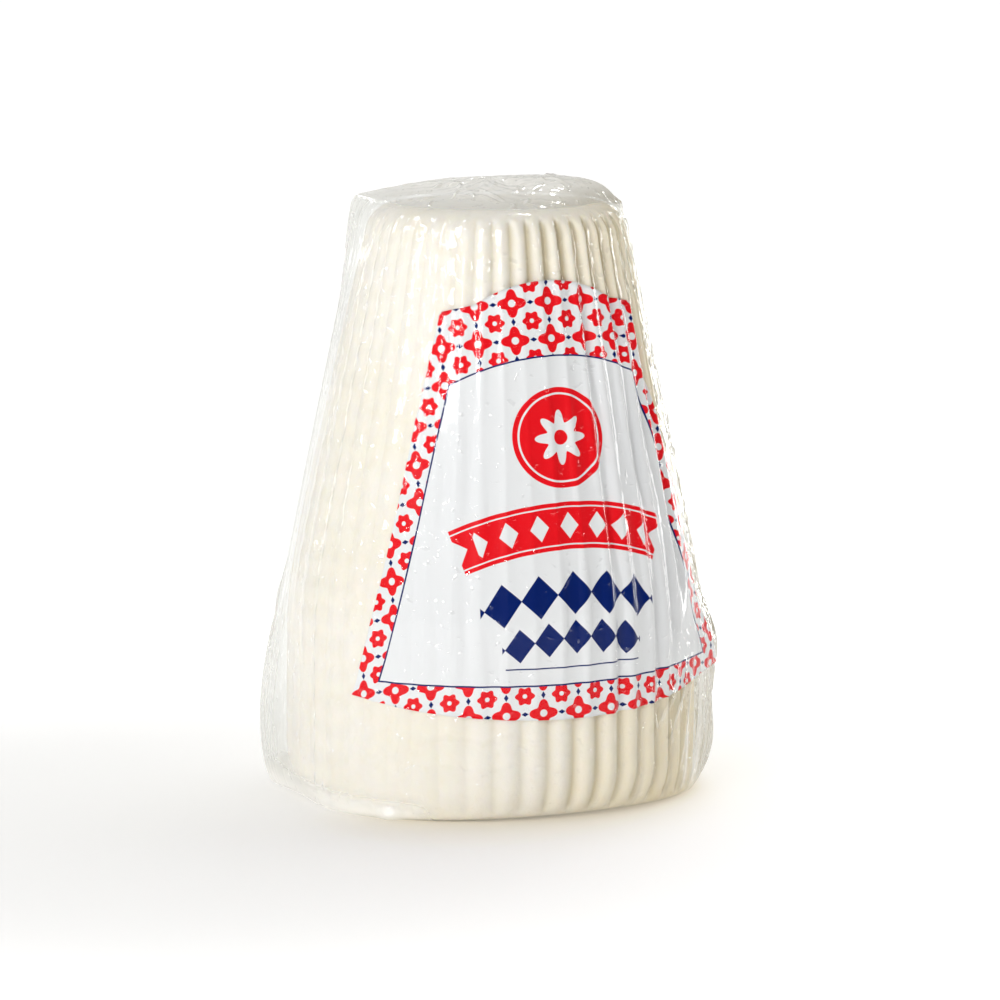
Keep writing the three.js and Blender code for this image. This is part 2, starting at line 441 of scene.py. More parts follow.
# Bumps for each metre.
WANDER_SCALE, DEPTH_SCALE, SINKING_SCALE = 14, 22, 45
SINKING_CONTRAST, SINKING_START = 1.6, 0.4
SINKING_HEIGHT, LEVEL_FOOT = 0.2, 0.04
MERGE_DISTANCE = 0.00001


def make_cheese_group(material):
    group = bpy.data.node_groups.new("fluted_cone", "GeometryNodeTree")
    tree = Tree(group)
    ask = ask_for(group, tree, {**CHEESE, **CHEESE_MESH})
    group.interface.new_socket("Geometry", in_out="OUTPUT", socket_type="NodeSocketGeometry")
    flat = tree.add("GeometryNodeMeshGrid", None, [1.0, 1.0, ask["Columns"], ask["Rows"]])
    across, upward, _ = tree.split(tree.add("GeometryNodeInputPosition"))
    share = upward + 0.5
    on_side = clamp((share - FOOT_SHARE) / (1.0 - FOOT_SHARE - TOP_SHARE))
    z = ask["Height"] * (1.0 - cosine(on_side * math.pi)) / 2
    angle = across * FULL_TURN
    body = cheese_radius(angle, z, ask)
    place = tree.join(body * sine(angle), body * cosine(angle) * -1.0, z)
    wander = (noise(tree, place, WANDER_SCALE, 1) - 0.5) * ask["Rib wander"]
    uneven = ask["Least depth"] + ask["Depth swing"] * noise(tree, place, DEPTH_SCALE, 2)
    depth = groove_depth(angle + wander, z, ask) * uneven
    hollows = noise(tree, place, SINKING_SCALE, 3) * SINKING_CONTRAST - SINKING_START
    sunk = ask["Sinking"] * clamp(hollows)
    radius = (body - depth - sunk) * clamp(share / FOOT_SHARE) * clamp((1.0 - share) / TOP_SHARE)
    inner_height = ask["Height"] - 2.0 * ask["Film allowance"]
    lifted = ask["Film allowance"] + z / ask["Height"] * inner_height
    lifted = lifted - sunk * ease(z / SINKING_HEIGHT - LEVEL_FOOT)
    bent = tree.join(radius * sine(angle), radius * cosine(angle) * -1.0, lifted)
    stored = {"data_type": "FLOAT", "domain": "POINT"}
    shape = tree.add("GeometryNodeStoreNamedAttribute", stored, {
        "Geometry": flat, "Name": "groove", "Value": depth / ask["Rib depth"],
    })
    shape = tree.add("GeometryNodeSetPosition", None, {"Geometry": shape, "Position": bent})
    shape = tree.add("GeometryNodeMergeByDistance", None, {0: shape, "Distance": MERGE_DISTANCE})
    shape = tree.add("GeometryNodeSetShadeSmooth", None, {0: shape})
    shape = tree.add("GeometryNodeRealizeInstances", None, [shape])
    shape = tree.add("GeometryNodeSetMaterial", None, {"Geometry": shape, "Material": material})
    tree.add("NodeGroupOutput", None, [shape])
    return group


# %% Make the cheese
cheese_group = make_cheese_group(cheese_material)
cheese = run_group("cheese", cheese_group, {**CHEESE, **CHEESE_MESH})
print("cheese:", len(cheese.data.polygons), "faces")

# %% [markdown]
# ## The label's shape
#
# The label is cut flat from glossy plastic sheet and laid round the cone, so it is first
# described flat: x from the centre line and y up from the middle of the lower edge. Bending a
# flat sheet on a cone keeps its lengths, so a flat point turns about the cone's unrolled tip.
# The same mapping backwards tells the bag where it has a label under it.

# %% Sizes of the label
LABEL_BASE = 0.0364
LABEL_TILT = math.radians(0.8)
LABEL_MIDDLE = 0.075
LABEL_CORNER = (0.0828, 0.0163)
LABEL_SHOULDER = (0.0383, 0.1457)
LABEL_STEP = (0.0265, 0.1466)
LABEL_ARCH = (0.0196, 0.1496)
LABEL_PEAK = 0.1532
LABEL_THICKNESS = 0.00015

APEX_HEIGHT = CHEESE["Height"] + CHEESE["Top radius"] / CHEESE["Taper"]
CONE_HALF_ANGLE = math.atan(CHEESE["Taper"])
LABEL_BASE_SLANT = (APEX_HEIGHT - LABEL_BASE) / math.cos(CONE_HALF_ANGLE)


# %% From flat to cone and back
def wrap(flat_x, flat_y):
    """A flat point of the label becomes an angle and a height on the cheese."""
    above = flat_y - LABEL_MIDDLE
    x = flat_x * math.cos(LABEL_TILT) - above * math.sin(LABEL_TILT)
    y = LABEL_MIDDLE + flat_x * math.sin(LABEL_TILT) + above * math.cos(LABEL_TILT)
    down = LABEL_BASE_SLANT - y
    slant = length_of(x, down)
    z = APEX_HEIGHT - slant * math.cos(CONE_HALF_ANGLE)
    return slant * turn_of(x, down) / side_radius(z), z


def unwrap(angle, z):
    """The flat point that lies at an angle and a height on the cheese."""
    slant = (APEX_HEIGHT - z) / math.cos(CONE_HALF_ANGLE)
    turn = angle * side_radius(z) / slant
    x = slant * np.sin(turn)
    above = LABEL_BASE_SLANT - slant * np.cos(turn) - LABEL_MIDDLE
    flat_x = x * math.cos(LABEL_TILT) + above * math.sin(LABEL_TILT)
    return flat_x, LABEL_MIDDLE - x * math.sin(LABEL_TILT) + above * math.cos(LABEL_TILT)


def lower_edge(x):
    share = x / LABEL_CORNER[0]
    return LABEL_CORNER[1] * share * share


def upper_edge(x):
    """Arch, step, shoulder and slanted side, one after the other."""
    along = np.abs(x)
    arch = LABEL_PEAK - (LABEL_PEAK - LABEL_ARCH[1]) * (along / LABEL_ARCH[0]) ** 2
    corners = [LABEL_ARCH, LABEL_STEP, LABEL_SHOULDER, LABEL_CORNER]
    straight = np.interp(along, [x for x, _ in corners], [y for _, y in corners])
    return np.where(along < LABEL_ARCH[0], arch, straight)


print("label corner at", [round(math.degrees(wrap(*LABEL_CORNER)[0]), 1), "degrees"])

# %% [markdown]
# ## The bag's shape
#
# The bag is two sheets of film, one in front and one behind, welded along both sides and over
# the top. The pump pulls them on to the ribs, but they bridge the grooves, stand off in a
# flat web at each weld and rise to a low ridge over the top. At the left the film runs on
# straight to the floor as a skirt, which ends in a small tail. These formulas give the film
# before its creases.

# %% Sizes of the bag
FILM_THICKNESS = 0.0003
TINY = 1e-6
SEAM_ANGLE = math.radians(66)
SEAM_FOOT_HEIGHT = 0.025
RIM_HEIGHT = 0.2098
PEAK_HEIGHT = 0.2187
TENT_POWER = 1.15
RIDGE_SHARPNESS = 6
# Of two values, the first is for the seam on the right and the second for the one on the left.
SEAM_REACH = np.array([0.0021, 0.0012])
SEAM_FOOT_INSET = np.array([0.0082, 0.0062])
EAR_REACH = np.array([-0.0006, 0.0029])
EAR_HEIGHT = 0.172
EAR_RADIUS = np.array([0.0448, 0.0485])
EAR_LIFT = np.array([0.0008, 0.0022])
RIDGE_POWER = np.array([8.0, 1.8])
FLARE_REACH = np.array([0.0039, 0.0077])
FLARE_HEIGHT = np.array([0.082, 0.088])
FLARE_FADE = np.array([0.052, 0.062])
CORNER_PUSH = np.array([0.0034, 0.0])
CORNER_HEIGHT = 0.053
CORNER_LENGTH = 0.013
SKIRT_REACH = 0.0028
SKIRT_FROM, SKIRT_TO = math.radians(-136), math.radians(-48)
SKIRT_FADE = math.radians(24)
TAIL_ANGLE = math.radians(-53)
TAIL_REACH = 0.0030
TAIL_WIDTH = math.radians(3.6)
TAIL_HEIGHT = 0.005


# %% The bag as formulas
def turned_near(angle, place):
    """The angle, turned by a whole turn where that brings it nearer the place."""
    return angle - FULL_TURN * np.round((angle - place) / FULL_TURN)


def nearest_seam(angle):
    """Which seam is nearest, and how far away it is."""
    turns = np.round((angle - SEAM_ANGLE) / math.pi)
    return np.abs(turns).astype(int) % 2, angle - SEAM_ANGLE - turns * math.pi


def seam_radius(seam, z):
    ear = EAR_REACH[seam] * ease((z - EAR_HEIGHT) / (RIM_HEIGHT - EAR_HEIGHT))
    flare = FLARE_REACH[seam] * ease((FLARE_HEIGHT[seam] - z) / FLARE_FADE[seam])
    push = CORNER_PUSH[seam] * np.exp(-((z - CORNER_HEIGHT) / CORNER_LENGTH) ** 2)
    foot = SEAM_FOOT_INSET[seam] * quarter_round(1 - z / SEAM_FOOT_HEIGHT)
    return side_radius(z) + FILM_THICKNESS + SEAM_REACH[seam] + ear + flare + push - foot


def skirt(angle, z):
    """At the left the film runs on straight to the floor, outside the cheese's rounded foot."""
    angle = turned_near(angle, SKIRT_FROM)
    share = ease((angle - SKIRT_FROM) / SKIRT_FADE) * ease((SKIRT_TO - angle) / SKIRT_FADE)
    tail = np.exp(-(((angle - TAIL_ANGLE) / TAIL_WIDTH) ** 2))
    tail = TAIL_REACH * tail * ease(1 - z / TAIL_HEIGHT)
    return SKIRT_REACH * share * quarter_round(1 - z / CHEESE["Foot height"]) + tail


def tangent_radius(inner, outer, offset):
    """The film runs straight from the cheese to a seam's edge."""
    contact = np.arccos(np.minimum(inner / outer, 1))
    return inner / np.cos(np.maximum(contact - np.abs(offset), 0)), contact


def rim_point(angle):
    seam, offset = nearest_seam(angle)
    inner = cheese_radius(angle, RIM_HEIGHT) + FILM_THICKNESS
    outer = EAR_RADIUS[seam]
    radius, _ = tangent_radius(inner, outer, offset)
    return radius, RIM_HEIGHT + EAR_LIFT[seam] * clamp((radius - inner) / (outer - inner + TINY))


def tent_point(angle, share):
    """The film over the top. The share is 1 at the rim and 0 in the middle."""
    rim_radius, rim_height = rim_point(angle)
    seam, offset = nearest_seam(angle)
    along_ridge = np.cos(offset) ** RIDGE_SHARPNESS
    power = TENT_POWER + (RIDGE_POWER[seam] - TENT_POWER) * along_ridge
    rise = (PEAK_HEIGHT - rim_height) * (1 - share ** power)
    return rim_radius * share, rim_height + rise


# %% Where the label lies under the film
LABEL_EDGE_SOFTNESS = 0.0015


def label_cover(angle, z):
    """1 over the label and 0 beside it."""
    x, y = unwrap(angle, z)
    inside = np.minimum(y - lower_edge(x), upper_edge(x) - y)
    inside = np.where(np.abs(x) < LABEL_CORNER[0], inside, -1.0)
    return ease(inside / LABEL_EDGE_SOFTNESS + 0.5)


# %% How the film hangs between the ribs
LOOSE_FADE = math.radians(9)
TIGHT_SIDE = math.radians(90)
TIGHT_REACH, TIGHT_FADE = 0.07, 0.57
SLACK_SAG = 0.00070
TIGHT_SAG = 0.0020
LABEL_STIFFNESS = 0.05
OVER_LABEL = 0.0002
TROUGH_SEED = 4
CREST_GAP = 0.0006
SAG_LENGTH = 0.009
CREST_RIPPLE = 0.00022
RIPPLE_LENGTH = 0.0016
TROUGH_RANGE = (0.5, 1.5)
WAVER = 0.3
FLAT_OVER_LABEL = 0.85

trough_draw = np.random.default_rng(TROUGH_SEED)
trough_share = trough_draw.uniform(*TROUGH_RANGE, CHEESE["Ribs"])
trough_phase = trough_draw.uniform(0, 2 * math.pi, CHEESE["Ribs"])
crest_gap = trough_draw.uniform(0, CREST_GAP, CHEESE["Ribs"])


def lift_at(crest, z):
    """How far the film stands off a crest. It dips back to the crest every centimetre or so."""
    ripple = 1 + np.sin(z / RIPPLE_LENGTH + 7 * trough_phase[crest])
    return crest_gap[crest] + CREST_RIPPLE * ripple


def film_sag(angle, z):
    """The film hangs in a shallow arc from rib to rib. No two arcs are alike."""
    turns = angle * CHEESE["Ribs"] / (2 * math.pi)
    number = np.round(turns)
    aside = turns - number
    groove_index = number.astype(int) % CHEESE["Ribs"]
    slack_to_tight = ease((np.cos(angle - TIGHT_SIDE) + TIGHT_REACH) / TIGHT_FADE)
    sag = SLACK_SAG + (TIGHT_SAG - SLACK_SAG) * slack_to_tight
    waver = 1 + WAVER * np.sin(z / SAG_LENGTH + trough_phase[groove_index])
    sag = sag * trough_share[groove_index] * waver * (1 - LABEL_STIFFNESS * label_cover(angle, z))
    lift = lift_at(groove_index, z) * (0.5 - aside) + lift_at(groove_index - 1, z) * (0.5 + aside)
    return sag * (1 - 4 * aside * aside) - lift * (1 - FLAT_OVER_LABEL * label_cover(angle, z))


def skin_radius(angle, z):
    """What the film lies on: ribs, or the label where there is one."""
    seam, offset = nearest_seam(angle)
    crest = cheese_radius(angle, z) + FILM_THICKNESS + skirt(angle, z)
    stretched_out, contact = tangent_radius(crest, seam_radius(seam, z), offset)
    below_top = ease((CHEESE["Rib top"] - z) / CHEESE["Rib top fade"])
    ribbed = below_top * ease(z / CHEESE["Rib foot fade"])
    sag = film_sag(angle, z) * ribbed * ease((np.abs(offset) - contact) / LOOSE_FADE)
    return np.maximum(stretched_out - sag, crest - groove_depth(angle, z))


def film_radius(angle, z):
    return skin_radius(angle, z) + OVER_LABEL * label_cover(angle, z)


at_belly = film_radius(np.array([0.0]), CHEESE["Belly height"])[0]
print(f"film at the belly {at_belly * 1000:.1f} mm from the axis")

# %% [markdown]
# ## The label's sheet
#
# The sheet is a grid whose columns run from the lower edge to the upper edge, so that its
# border is exact. Each point is wrapped on to the cheese, just under the film, and dips a
# little at each groove. Its UV map holds the flat position, which the print reads.

# %% Make the label's mesh
LABEL_COLUMNS = 320
LABEL_ROWS = 110
CORNER_MARGIN = 0.9999


def on_surface(angle, radius, z):
    """Angle, radius and height as an array of points."""
    return np.stack([radius * np.sin(angle), -radius * np.cos(angle), z + 0 * angle], axis=-1)


def grid_faces(rows, columns):
    """Quads of a grid of points that is stored row by row."""
    corner = np.arange((rows - 1) * columns).reshape(rows - 1, columns)[:, :-1].ravel()
    return np.stack([corner, corner + 1, corner + columns + 1, corner + columns], axis=1)


def mesh_piece(name, points, faces, material):
    """A smooth mesh object at the origin."""
    mesh = bpy.data.meshes.new(name)
    mesh.from_pydata(points.reshape(-1, 3).tolist(), [], faces.tolist())
    mesh.polygons.foreach_set("use_smooth", [True] * len(mesh.polygons))
    mesh.materials.append(material)
    mesh.update()
    return put_in_scene(name, mesh)


def make_label(material):
    across = np.linspace(-1, 1, LABEL_COLUMNS)[None, :] * LABEL_CORNER[0] * CORNER_MARGIN
    share = np.linspace(0, 1, LABEL_ROWS)[:, None]
    flat_x = across + 0 * share
    flat_y = lower_edge(flat_x) + (upper_edge(flat_x) - lower_edge(flat_x)) * share
    angle, z = wrap(flat_x, flat_y)
    points = on_surface(angle, skin_radius(angle, z), z)
    piece = mesh_piece("label_sheet", points, grid_faces(LABEL_ROWS, LABEL_COLUMNS), material)
    flat = np.stack([flat_x.ravel(), flat_y.ravel()], axis=1)
    corners = np.empty(len(piece.data.loops), dtype=int)
    piece.data.loops.foreach_get("vertex_index", corners)
    piece.data.uv_layers.new(name="flat").data.foreach_set("uv", flat[corners].ravel())
    wall = piece.modifiers.new("thickness", "SOLIDIFY")
    wall.thickness = LABEL_THICKNESS
    wall.offset = -1
    return piece


# %% [markdown]
# ## The label's print
#
# The print is fields of plain colour, so each motif is a distance formula that is negative
# inside its outline: a disc, a ribbon bent on a large circle, lozenges and small flowers.
# They are worked out in flat millimetres, which makes each size readable with a ruler. An
# image would blur close up, and these edges stay sharp.

# %% Shapes as distances
EDGE_WIDTH = 0.14


def filled(distance):
    """1 inside a shape and 0 outside, with a narrow soft edge."""
    return clamp(0.5 - distance / EDGE_WIDTH)


def outlined(distance, width):
    return filled(size_of(distance) - width / 2)


def repeated(value, pitch):
    """The way to the nearest of many places that are a pitch apart."""
    return value - pitch * nearest_whole(value / pitch)


def lozenge(x, y, half_width, half_height):
    across = size_of(x) / half_width + size_of(y) / half_height - 1.0
    return across * (half_width * half_height / math.hypot(half_width, half_height))


def flower(x, y, radius, petals, depth):
    """A round outline with petals. The depth is a share of the radius."""
    swing = cosine(turn_of(y, x) * petals)
    return length_of(x, y) - radius * (1.0 - depth + depth * swing)


# %% The motifs and where they lie, in millimetres
INK_RED = (0.83, 0.007, 0.014, 1)
INK_BLUE = (0.0006, 0.013, 0.13, 1)
SHEET_WHITE = (0.82, 0.83, 0.85, 1)
BORDER_PITCH = 13.0
BORDER_START = 3.0
BORDER_FLOWER = 5.0
BORDER_BUD = 3.5
FLOWER_EYE, BUD_EYE = 1.3, 0.8
BORDER_BEAD = (0.8, 1.3)
PANEL_SIDE_BOTTOM = (71.5, 20.0)
PANEL_SIDE_TOP = (37.5, 120.0)
PANEL_TOP = 127.0
PANEL_BOTTOM = 12.5
KEYLINE_WIDTH = 0.6
MEDAL_PLACE = (0.0, 98.5)
MEDAL_RADIUS = 17.5
RING_INSET, RING_WIDTH = 2.2, 0.7
ROSETTE_RADIUS = 9.6
HEART_RADIUS = 2.6
RIBBON_BEND = 135.0
RIBBON_PLACE = 68.0
RIBBON_HALF_HEIGHT = 8.2
RIBBON_HALF_WIDTH = 41.0
NOTCH_DEPTH, NOTCH_SLOPE = 4.0, 0.9
RIBBON_BEAD = (3.4, 4.6)
BEAD_PITCH = 11.0
BEADS_HALF_WIDTH = 34.0
PIPING_INSET, PIPING_WIDTH = 1.7, 0.5
# Each row of blue lozenges: its height, its pitch and half its lozenges' height and its width.
BLUE_ROWS = ((44.5, 13.0, 7.6, 34.0), (29.0, 10.4, 6.0, 27.0))
GEM_OVERLAP = 1.02
RULE_PLACE, RULE_BEND, RULE_HALF_WIDTH, RULE_HALF_HEIGHT = 18.6, 0.0014, 26.0, 0.25


def panel_distance(x, y):
    """The inner panel: two slanted sides, a hollow lower edge and an arched top."""
    (low_x, low_y), (high_x, high_y) = PANEL_SIDE_BOTTOM, PANEL_SIDE_TOP
    slope = (low_x - high_x) / (high_y - low_y)
    beside = (size_of(x) - low_x + slope * (y - low_y)) / math.hypot(1, slope)
    below = PANEL_BOTTOM + x * x * ((low_y - PANEL_BOTTOM) / low_x**2) - y
    above = y - PANEL_TOP + x * x * ((PANEL_TOP - high_y) / high_x**2)
    return larger(larger(beside, below), above)


def ribbon_parts(x, y):
    """Its outline, and the row of lozenges and the two lines that are left white in it."""
    up = length_of(x, y - RIBBON_PLACE + RIBBON_BEND) - RIBBON_BEND
    along = turn_of(x, y - RIBBON_PLACE + RIBBON_BEND) * RIBBON_BEND
    notch = larger(NOTCH_DEPTH - size_of(up) * NOTCH_SLOPE, 0.0)
    outline = larger(size_of(up) - RIBBON_HALF_HEIGHT, size_of(along) - RIBBON_HALF_WIDTH + notch)
    beads = lozenge(repeated(along, BEAD_PITCH), up, *RIBBON_BEAD)
    beads = larger(beads, size_of(along) - BEADS_HALF_WIDTH)
    piping = outlined(size_of(up) - RIBBON_HALF_HEIGHT + PIPING_INSET, PIPING_WIDTH)
    return outline, beads, piping


def medal_parts(x, y):
    x, y = x - MEDAL_PLACE[0], y - MEDAL_PLACE[1]
    ring = length_of(x, y) - MEDAL_RADIUS + RING_INSET
    rosette = flower(x, y, ROSETTE_RADIUS, 8, 0.22)
    heart = length_of(x, y) - HEART_RADIUS
    return length_of(x, y) - MEDAL_RADIUS, ring, rosette, heart


def print_masks(x, y):
    """How much red and blue ink there is at a flat point."""
    panel = panel_distance(x, y)
    outside = filled(0.0 - panel)
    flower_x, flower_y = repeated(x, BORDER_PITCH), repeated(y - BORDER_START, BORDER_PITCH)
    bud_x = repeated(x - BORDER_PITCH / 2, BORDER_PITCH)
    bud_y = repeated(y - BORDER_START - BORDER_PITCH / 2, BORDER_PITCH)
    bloom = filled(flower(flower_x, flower_y, BORDER_FLOWER, 4, 0.2))
    bud = filled(flower(bud_x, bud_y, BORDER_BUD, 6, 0.12))
    flower_eye = filled(length_of(flower_x, flower_y) - FLOWER_EYE)
    eye = larger(flower_eye, filled(length_of(bud_x, bud_y) - BUD_EYE))
    red = outside * larger(bloom, bud) * (1.0 - eye)
    upright = filled(lozenge(flower_x, bud_y, *BORDER_BEAD))
    lying = filled(lozenge(bud_x, flower_y, *BORDER_BEAD[::-1]))
    blue = outside * larger(upright, lying)
    blue = larger(blue, outlined(panel, KEYLINE_WIDTH))
    ribbon, beads, piping = ribbon_parts(x, y)
    red = larger(red, filled(ribbon) * (1.0 - larger(filled(beads), piping)))
    medal, ring, rosette, heart = medal_parts(x, y)
    disc = filled(medal) * (1.0 - larger(outlined(ring, RING_WIDTH), filled(rosette)))
    red = larger(larger(red, disc), filled(heart))
    for height, pitch, half_height, half_width in BLUE_ROWS:
        drooped = y - height + x * x / (2 * RIBBON_BEND)
        gem = lozenge(repeated(x, pitch), drooped, pitch / 2 * GEM_OVERLAP, half_height)
        blue = larger(blue, filled(larger(gem, size_of(x) - half_width)))
    rule = size_of(y - RULE_PLACE - x * x * RULE_BEND) - RULE_HALF_HEIGHT
    return red, larger(blue, filled(larger(rule, size_of(x) - RULE_HALF_WIDTH)))


# %% The label's material
CLOUD_SCALE, CLOUD_TINT = 120, 0.06
SHEET_RIPPLE_SCALE = 260


def make_label_material():
    material, tree = start_material("printed_label")
    flat = tree.add("ShaderNodeUVMap", {"uv_map": "flat"})
    flat_x, flat_y, _ = tree.split(flat)
    red, blue = print_masks(flat_x * 1000.0, flat_y * 1000.0)
    place = object_place(tree)
    cloudy = noise(tree, place, CLOUD_SCALE, 3)
    colour = tree.colour_mix(red, SHEET_WHITE, INK_RED)
    colour = tree.colour_mix(blue, colour, INK_BLUE)
    colour = tree.colour_mix(CLOUD_TINT, colour, tree.join(cloudy, cloudy, cloudy), "SOFT_LIGHT")
    ripples = noise(tree, stretched(tree, place, (1.0, 1.0, 0.25)), SHEET_RIPPLE_SCALE, 2)
    bump = add_bump(tree, 0.25, 0.0003, ripples)
    shader = tree.add("ShaderNodeBsdfPrincipled", None, {
        "Base Color": colour,
        "Roughness": 0.3 + 0.10 * cloudy,
        "Specular IOR Level": 0.04,
        "Normal": bump,
    })
    tree.add("ShaderNodeOutputMaterial", None, {"Surface": shader})
    return material


label = make_label(make_label_material())
print("label:", len(label.data.polygons), "faces")

# %% [markdown]
# ## The bag's film
#
# Film this thin is a surface, not a wall: each sheet is one layer, and the shader gives it the
# reflection of both its faces. It mirrors little head-on and much at a glancing angle, which
# a Layer Weight node gives from either side. Where it stands off the cheese it looks milky,
# and where it is sucked on to the damp cheese it almost vanishes, so each point stores how
# far it stands off. The milk's colour holds painted light and shade: pale grey at the lit left,
# and darker and warmer at the shaded right. It is palest where the film is gathered, over the
# top and at the foot on the left, partly because gathered film is whiter and partly as painted
# light on the top and in the shaded foot.

# %% The film's material
SIDE_FADE = 0.08
QUIET_SIDE = 0.06
HEAD_ON_MIRROR = 0.012
LOOSE_MIRROR = 0.08
LEFT_SHINE, MORE_AT_RIGHT = 0.2, 1.8
CONTACT_HAZE = 0.004
BLISTER_MIRROR = 0.09
LOOSE_HAZE = (0.14, 0.22)
THINNEST_SLANT = 0.25
DENSEST_HAZE = (0.45, 0.82)
DENSEST_TOP_HAZE = 0.78
FOOT_EDGE = 0.0012
# Painted light and shade: the milk is lighter on the lit left and darker and warmer on the shaded
# right.
LEFT_LIT_MILK = (0.68, 0.68, 0.645, 1)
SHADED_RIGHT_MILK = (0.44, 0.41, 0.31, 1)
# The pale milk of gathered film is partly painted light, on the top and at the shaded foot.
TOP_MILK = (0.93, 0.92, 0.88, 1)
GATHERED = 0.040
GATHERED_FADE = 0.015
GATHERED_TOP = 0.011
GATHERED_SOFTNESS = 0.010
GATHERED_HAZE = 0.4
GATHERED_DULLNESS = 0.7
OVER_TOP_START, OVER_TOP_FADE = 0.001, 0.007
# Bumps for each metre.
CRINKLE_SCALE, STREAK_SCALE, BLISTER_SCALE, BEAD_SCALE = 210, 480, 330, 520
FACET_SCALE, WARP_SCALE = 190, 90
BLISTER_START, BLISTER_SHARPNESS = 0.62, 9.0
# How much each pattern adds to the bumps.
CRINKLE, STREAK, BLISTER, BEAD, FACET = 0.08, 0.1, 0.7, 0.12, 2.0
LOOSEST = 0.45
CALM = 0.85
WARP = (0.006, 0.006, 0.006)


def between(pair, share):
    """The first of two values at share 0 and the second at share 1."""
    return pair[0] + (pair[1] - pair[0]) * share


def make_film_material():
    material, tree = start_material("clear_film")
    place = object_place(tree)
    gap = tree.add("ShaderNodeAttribute", {"attribute_name": "stand_off"}, output="Fac")
    crinkle = noise(tree, place, CRINKLE_SCALE, 3, 0.6)
    streak = noise(tree, stretched(tree, place, (1.0, 1.0, 0.1)), STREAK_SCALE, 2, 0.5)
    blister = noise(tree, place, BLISTER_SCALE, 1) - BLISTER_START
    blister = ease(blister * BLISTER_SHARPNESS)
    bead = noise(tree, stretched(tree, place, (1.0, 1.0, 0.5)), BEAD_SCALE, 1)
    x, _, z = tree.split(place)
    rightward = clamp(x / SIDE_FADE + 0.5)
    over_top = clamp((z - RIM_HEIGHT + OVER_TOP_START) / OVER_TOP_FADE)
    lively = larger(rightward, over_top)
    looseness = smaller(gap, LOOSEST) * (QUIET_SIDE + (1.0 - QUIET_SIDE) * lively)
    warped = tree.add("ShaderNodeVectorMath", {"operation": "MULTIPLY_ADD"}, [
        tree.add("ShaderNodeTexNoise", None, {"Vector": place, "Scale": WARP_SCALE}, "Color"),
        WARP, place,
    ])
    facets = tree.add("ShaderNodeTexVoronoi", None, {
        "Vector": stretched(tree, warped, (1.0, 1.0, 0.4)), "Scale": FACET_SCALE,
    }, "Distance")
    height = crinkle * (CRINKLE + looseness) + streak * STREAK + blister * BLISTER + bead * BEAD
    height = (height + facets * looseness * FACET) * (1.0 - CALM * gap * (1.0 - lively))
    bump = add_bump(tree, 0.5, 0.0008, height)
    facing = tree.add("ShaderNodeLayerWeight", None, {"Blend": 0.5, "Normal": bump}, "Facing")
    square = facing * facing
    head_on = HEAD_ON_MIRROR + LOOSE_MIRROR * gap * (LEFT_SHINE + MORE_AT_RIGHT * rightward)
    head_on = head_on + BLISTER_MIRROR * blister
    mirror = head_on + (1.0 - head_on) * square * square * facing
    clear = tree.add("ShaderNodeBsdfTransparent", None, {"Color": (0.975, 0.98, 0.97, 1)})
    low = ease((GATHERED_TOP - z) / GATHERED_SOFTNESS)
    gathered = ease((0.0 - GATHERED - x) / GATHERED_FADE) * low
    thick = larger(over_top, gathered)
    mirror = mirror * clamp(z / FOOT_EDGE) * (1.0 - GATHERED_DULLNESS * gathered)
    # Painted light and shade: the milk darkens from the lit left to the shaded right, and gathered
    # film is painted paler.
    milk = tree.colour_mix(rightward, LEFT_LIT_MILK, SHADED_RIGHT_MILK)
    milky = tree.add("ShaderNodeBsdfPrincipled", None, {
        "Base Color": tree.colour_mix(thick, milk, TOP_MILK),
        "Roughness": 0.5,
    })
    shiny = tree.add("ShaderNodeBsdfPrincipled", None, {
        "Base Color": (0.97, 0.97, 0.97, 1),
        "Metallic": 1.0,
        "Roughness": 0.05,
        "Normal": bump,
    })
    haze = CONTACT_HAZE + between(LOOSE_HAZE, rightward) * gap
    densest = between(DENSEST_HAZE, rightward)
    densest = densest + (DENSEST_TOP_HAZE - densest) * thick
    haze = (haze + GATHERED_HAZE * gathered) * (1.0 + thick)
    haze = smaller(haze / larger(1.0 - facing, THINNEST_SLANT), densest)
    body = tree.add("ShaderNodeMixShader", None, [haze, clear, milky])
    surface = tree.add("ShaderNodeMixShader", None, [mirror, body, shiny])
    tree.add("ShaderNodeOutputMaterial", None, {"Surface": surface})
    return material


film_material = make_film_material()
print("material:", film_material.name)

# %% [markdown]
# ## Folds and sheets
#
# Film hardly stretches, so what is left over lies in folds: creases beside the welds and round
# the rim, long lines down each weld, a fan below the label's stiff corner, and sharp little
# folds over the top. A cloth simulation finds folds too, but not where this bag has them, so
# each fold is a ridge with a place, a direction and a height. Each sheet is one grid that runs
# from the middle of the foot up the side and over the top.

# %% One crease, and the sum of many
def crease(angle, z, place, direction, length, width, height):
    """A ridge in the film: place is an angle and a height, direction 0 is upright."""
    across = (angle - place[0]) * side_radius(place[1])
    upward = z - place[1]
    along = across * math.sin(direction) + upward * math.cos(direction)
    aside = across * math.cos(direction) - upward * math.sin(direction)
    fade = clamp(1 - (2 * along / length) ** 2)
    return height * fade * np.exp(-((aside / width) ** 2))


def creased(angle, z, creases):
    total = 0 * angle
    for place, *sizes in creases:
        total = total + crease(turned_near(angle, place[0]), z, place, *sizes)
    return total


# %% Creases beside the seams and round the rim
CREASE_SEED = 7
SEAM_CREASES = 95
LEFT_SHARE = 0.06
SEAM_HEIGHTS = (0.008, 0.19)
SEAM_LENGTHS = (0.010, 0.034)
SEAM_WIDTH = 0.0008
LEFT_LINES = 7
LEFT_LINE_ANGLES = (1.5, 11)
LEFT_LINE_HEIGHTS = (0.022, 0.085)
LEFT_LINE_LENGTHS = (0.010, 0.022)
LEFT_LINE_WIDTH = LEFT_LINE_LIFT = 0.0006
RIM_CREASES = 60
RIM_CREASE_HEIGHTS = (0.198, 0.209)
RIM_LENGTHS = (0.006, 0.02)
RIM_WIDTH = 0.0009
